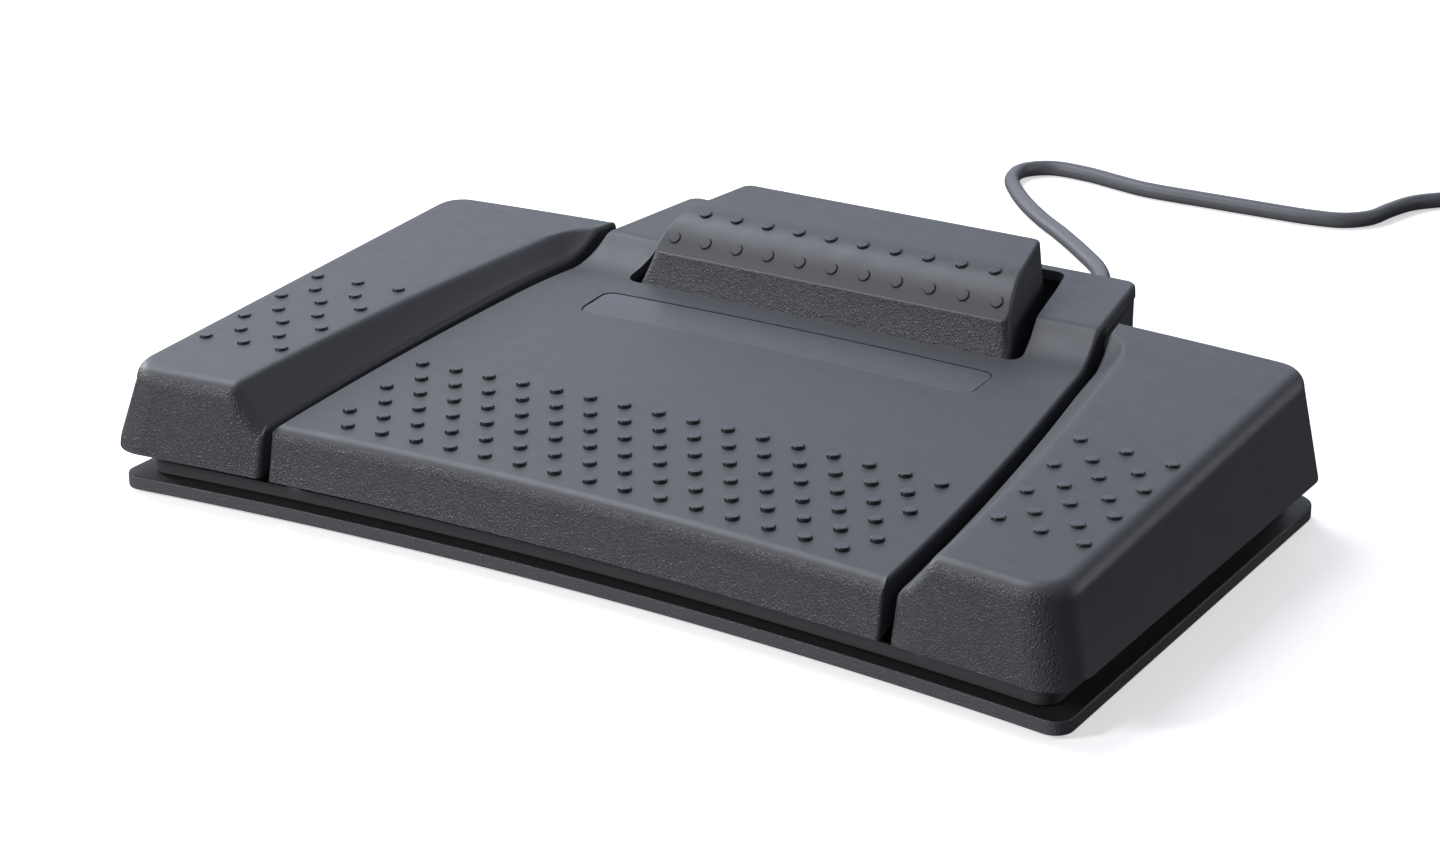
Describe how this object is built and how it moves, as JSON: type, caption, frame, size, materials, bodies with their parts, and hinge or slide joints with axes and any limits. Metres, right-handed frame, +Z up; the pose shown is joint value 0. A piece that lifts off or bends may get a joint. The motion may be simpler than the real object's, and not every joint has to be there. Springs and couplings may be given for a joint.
{
  "type": "foot switch",
  "caption": "Low, wide foot switch for a dictation or transcription machine: side pedals, a broad middle pedal and a small raised pedal behind, on a long coiled cord.",
  "frame": {"origin": "centre of the switch's outline on the floor, without the cord", "axes": "+X to the user's right, +Y towards the cord and away from the user, +Z up"},
  "size_m": [0.2587, 0.362, 0.0453],
  "materials": {
    "dark_plastic": "fine sand texture on edges, satin on tops",
    "rubber": "matt",
    "steel": "bright",
    "board": "satin",
    "switch": "satin",
    "plunger": "satin",
    "connector": "satin",
    "cord": "semi-matt"
  },
  "bodies": {
    "base": {"base_plate": "dark_plastic", "tray": "dark_plastic", "rear_housing": "dark_plastic", "foot_front_left": "rubber", "foot_front_right": "rubber", "foot_rear_left": "rubber", "foot_rear_right": "rubber", "foot_middle": "rubber", "screw_front_left": "steel", "screw_front_right": "steel", "screw_side_left": "steel", "screw_side_right": "steel", "screw_rear_left": "steel", "screw_rear_right": "steel", "axle_left": "steel", "axle_right": "steel", "axle_center": "steel", "axle_top": "steel", "spring_left": "steel", "spring_right": "steel", "spring_center": "steel", "spring_top": "steel", "circuit_board": "board", "board_connector": "connector", "switch_left": "switch", "switch_right": "switch", "switch_center": "switch", "switch_top": "switch", "inner_lead": "cord", "strain_relief": "dark_plastic", "cord": "cord", "cord_coil": "cord", "cord_tail": "cord", "plug_body": "dark_plastic", "plug_shell": "steel", "plug_insert": "dark_plastic"},
    "left_pedal": {"left_pedal": "dark_plastic"},
    "right_pedal": {"right_pedal": "dark_plastic"},
    "center_pedal": {"center_pedal": "dark_plastic"},
    "top_pedal": {"top_pedal": "dark_plastic"},
    "plunger_left": {"plunger_left": "plunger"},
    "plunger_right": {"plunger_right": "plunger"},
    "plunger_center": {"plunger_center": "plunger"},
    "plunger_top": {"plunger_top": "plunger"}
  },
  "joints": [
    {"name": "left_press", "type": "hinge", "parent": "base", "child": "left_pedal", "pos_m": [-0.095, 0.031, 0.018], "axis": [1, 0, 0], "range_deg": [0, 2.3], "stiffness_Nm_per_rad": 2.2, "springref_deg": -6.88, "deforming": ["spring_left"]},
    {"name": "left_plunger", "type": "slide", "parent": "base", "child": "plunger_left", "axis": [0, 0, -1], "range_m": [0, 0.0016]},
    {"name": "right_press", "type": "hinge", "parent": "base", "child": "right_pedal", "pos_m": [0.095, 0.031, 0.018], "axis": [1, 0, 0], "range_deg": [0, 2.3], "stiffness_Nm_per_rad": 2.2, "springref_deg": -6.88, "deforming": ["spring_right"]},
    {"name": "right_plunger", "type": "slide", "parent": "base", "child": "plunger_right", "axis": [0, 0, -1], "range_m": [0, 0.0016]},
    {"name": "center_press", "type": "hinge", "parent": "base", "child": "center_pedal", "pos_m": [0, 0.057, 0.018], "axis": [1, 0, 0], "range_deg": [0, 1.9], "stiffness_Nm_per_rad": 6, "springref_deg": -4.93, "deforming": ["spring_center"]},
    {"name": "center_plunger", "type": "slide", "parent": "base", "child": "plunger_center", "axis": [0, 0, -1], "range_m": [0, 0.0018]},
    {"name": "top_press", "type": "hinge", "parent": "base", "child": "top_pedal", "pos_m": [0, 0.052, 0.029], "axis": [1, 0, 0], "range_deg": [0, 5], "stiffness_Nm_per_rad": 0.38, "springref_deg": -12.03, "deforming": ["spring_top"]},
    {"name": "top_plunger", "type": "slide", "parent": "base", "child": "plunger_top", "axis": [0, 0, -1], "range_m": [0, 0.0018]}
  ],
  "couplings": [
    {"joint": "left_plunger", "follows": "left_press", "m_per_rad": 0.031},
    {"joint": "right_plunger", "follows": "right_press", "m_per_rad": 0.031},
    {"joint": "center_plunger", "follows": "center_press", "m_per_rad": 0.052},
    {"joint": "top_plunger", "follows": "top_press", "m_per_rad": 0.02}
  ]
}
